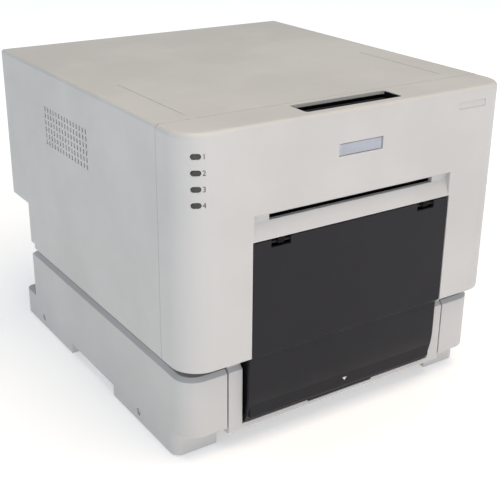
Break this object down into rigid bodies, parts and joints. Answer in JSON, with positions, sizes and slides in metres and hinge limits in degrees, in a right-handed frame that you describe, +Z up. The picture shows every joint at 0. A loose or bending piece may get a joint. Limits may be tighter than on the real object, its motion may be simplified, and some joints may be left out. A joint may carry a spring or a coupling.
{
  "type": "dye sublimation photo printer",
  "caption": "Desktop photo printer with a bottom-hinged front door, tilting scrap box, finger-slot latch, roll paper feed, thermal head and cutter, on a low base tray.",
  "frame": {"origin": "centre of the footprint, on the surface that the machine stands on", "axes": "+Z up, the front door faces -Y, +X to the right seen from the front"},
  "size_m": [0.322, 0.351, 0.281],
  "materials": {
    "casing_light": "fine textured off-white moulding",
    "casing_dark": "charcoal textured moulding",
    "inner_plastic": "black inner moulding",
    "lens_smoke": "smoked lamp lens",
    "badge_satin": "satin silver",
    "steel_zinc": "zinc plated sheet",
    "steel_ground": "ground shaft",
    "screw_steel": "dark plated screw",
    "pad_rubber": "soft pad",
    "roller_rubber": "ground roller rubber",
    "gear_plastic": "natural acetal",
    "lever_green": "coloured user-touch lever",
    "bush_brass": "sintered bush",
    "paper_white": "photo paper, stands in for paper",
    "card_brown": "cardboard core",
    "ribbon_film": "dye film",
    "sink_alu": "extruded heatsink",
    "ceramic": "glazed head substrate",
    "board_green": "circuit board",
    "motor_steel": "motor can"
  },
  "bodies": {
    "chassis": {"main_housing": "casing_light", "rear_panel": "steel_zinc", "base_tray": "casing_light", "rubber_pads": "pad_rubber", "case_screws": "screw_steel", "bottom_plate": "steel_zinc", "left_side_frame": "steel_zinc", "right_side_frame": "steel_zinc", "tie_bars": "steel_ground", "latch_beam": "steel_zinc", "roller_bushes": "bush_brass", "feed_motor": "motor_steel", "ribbon_motors": "motor_steel", "cutter_rail": "sink_alu", "cutter_motor": "motor_steel", "paper_chutes": "inner_plastic", "main_board": "board_green", "power_supply": "steel_zinc", "fan_frame": "inner_plastic", "fan_guard": "screw_steel", "ac_inlet": "inner_plastic", "power_switch_body": "inner_plastic", "usb_socket": "inner_plastic"},
    "front_door": {"front_cover": "casing_light", "door_leg": "casing_light", "hinge_pins": "steel_ground", "door_inner_panel": "inner_plastic", "door_exit_guide": "inner_plastic", "finger_well": "inner_plastic", "led_board": "board_green", "led_lenses": "lens_smoke", "badge_plate": "badge_satin", "latch_spring": "steel_ground"},
    "door_latch": {"release_lever": "casing_dark", "latch_shaft": "steel_ground", "latch_hooks": "steel_zinc"},
    "scrap_box": {"scrap_box": "casing_dark"},
    "print_head": {"thermal_head": "ceramic", "head_heatsink": "sink_alu", "head_arm": "steel_zinc"},
    "head_lock": {"head_lock_lever": "lever_green"},
    "platen": {"platen_roller": "roller_rubber", "platen_shaft": "steel_ground", "platen_gear": "gear_plastic"},
    "feed": {"feed_roller": "steel_ground", "feed_gear": "gear_plastic"},
    "idler": {"idler_gear": "gear_plastic"},
    "pinion": {"motor_pinion": "gear_plastic"},
    "pinch": {"pinch_roller": "steel_ground"},
    "ribbon_supply": {"ribbon_supply_spool": "gear_plastic", "ribbon_supply_roll": "ribbon_film"},
    "ribbon_takeup": {"ribbon_takeup_spool": "gear_plastic", "ribbon_takeup_roll": "ribbon_film"},
    "paper": {"paper_roll": "paper_white", "paper_core": "card_brown", "roll_flanges": "inner_plastic"},
    "cutter": {"cutter_carriage": "inner_plastic", "cutter_blade": "steel_ground"},
    "fan": {"fan_rotor": "inner_plastic"},
    "rocker": {"power_rocker": "inner_plastic"}
  },
  "joints": [
    {"name": "door_hinge", "type": "hinge", "parent": "chassis", "child": "front_door", "pos_m": [0, -0.146, 0.026], "axis": [1, 0, 0], "range_deg": [0, 80]},
    {"name": "latch_pivot", "type": "hinge", "parent": "front_door", "child": "door_latch", "pos_m": [0, -0.15, 0.248], "axis": [-1, 0, 0], "range_deg": [0, 12], "stiffness_Nm_per_rad": 1, "springref_deg": -5.73},
    {"name": "scrap_box_tilt", "type": "hinge", "parent": "front_door", "child": "scrap_box", "pos_m": [0, -0.1726, 0.1854], "axis": [-1, 0, 0], "range_deg": [0, 25]},
    {"name": "head_lift", "type": "hinge", "parent": "chassis", "child": "print_head", "pos_m": [0, 0.066, 0.253], "axis": [-1, 0, 0], "range_deg": [0, 4]},
    {"name": "head_lock_turn", "type": "hinge", "parent": "chassis", "child": "head_lock", "pos_m": [-0.116, -0.084, 0.232], "axis": [-1, 0, 0], "range_deg": [0, 60]},
    {"name": "platen_spin", "type": "hinge", "parent": "chassis", "child": "platen", "pos_m": [0, -0.02, 0.19], "axis": [1, 0, 0], "continuous": true},
    {"name": "feed_spin", "type": "hinge", "parent": "chassis", "child": "feed", "pos_m": [0, -0.062, 0.198], "axis": [1, 0, 0], "continuous": true},
    {"name": "idler_spin", "type": "hinge", "parent": "chassis", "child": "idler", "pos_m": [0, -0.04539, 0.18054], "axis": [1, 0, 0], "continuous": true},
    {"name": "pinion_spin", "type": "hinge", "parent": "chassis", "child": "pinion", "pos_m": [0, -0.04539, 0.15843], "axis": [1, 0, 0], "continuous": true},
    {"name": "pinch_spin", "type": "hinge", "parent": "chassis", "child": "pinch", "pos_m": [0, -0.062, 0.21005], "axis": [1, 0, 0], "continuous": true},
    {"name": "ribbon_supply_spin", "type": "hinge", "parent": "chassis", "child": "ribbon_supply", "pos_m": [0, 0.024, 0.227], "axis": [1, 0, 0], "continuous": true},
    {"name": "ribbon_takeup_spin", "type": "hinge", "parent": "chassis", "child": "ribbon_takeup", "pos_m": [0, -0.06, 0.236], "axis": [1, 0, 0], "continuous": true},
    {"name": "paper_spin", "type": "hinge", "parent": "chassis", "child": "paper", "pos_m": [0, -0.045, 0.092], "axis": [1, 0, 0], "continuous": true},
    {"name": "cutter_travel", "type": "slide", "parent": "chassis", "child": "cutter", "axis": [1, 0, 0], "range_m": [0, 0.18]},
    {"name": "fan_spin", "type": "hinge", "parent": "chassis", "child": "fan", "pos_m": [-0.092, 0.164, 0.222], "axis": [0, 1, 0], "continuous": true},
    {"name": "power_switch", "type": "hinge", "parent": "chassis", "child": "rocker", "pos_m": [0.112, 0.1705, 0.194], "axis": [0, 0, -1], "range_deg": [0, 12]}
  ],
  "couplings": [
    {"joint": "feed_spin", "follows": "platen_spin", "ratio": 1.3333},
    {"joint": "idler_spin", "follows": "platen_spin", "ratio": -0.8},
    {"joint": "pinion_spin", "follows": "platen_spin", "ratio": 1.7143},
    {"joint": "pinch_spin", "follows": "platen_spin", "ratio": -1.8}
  ]
}
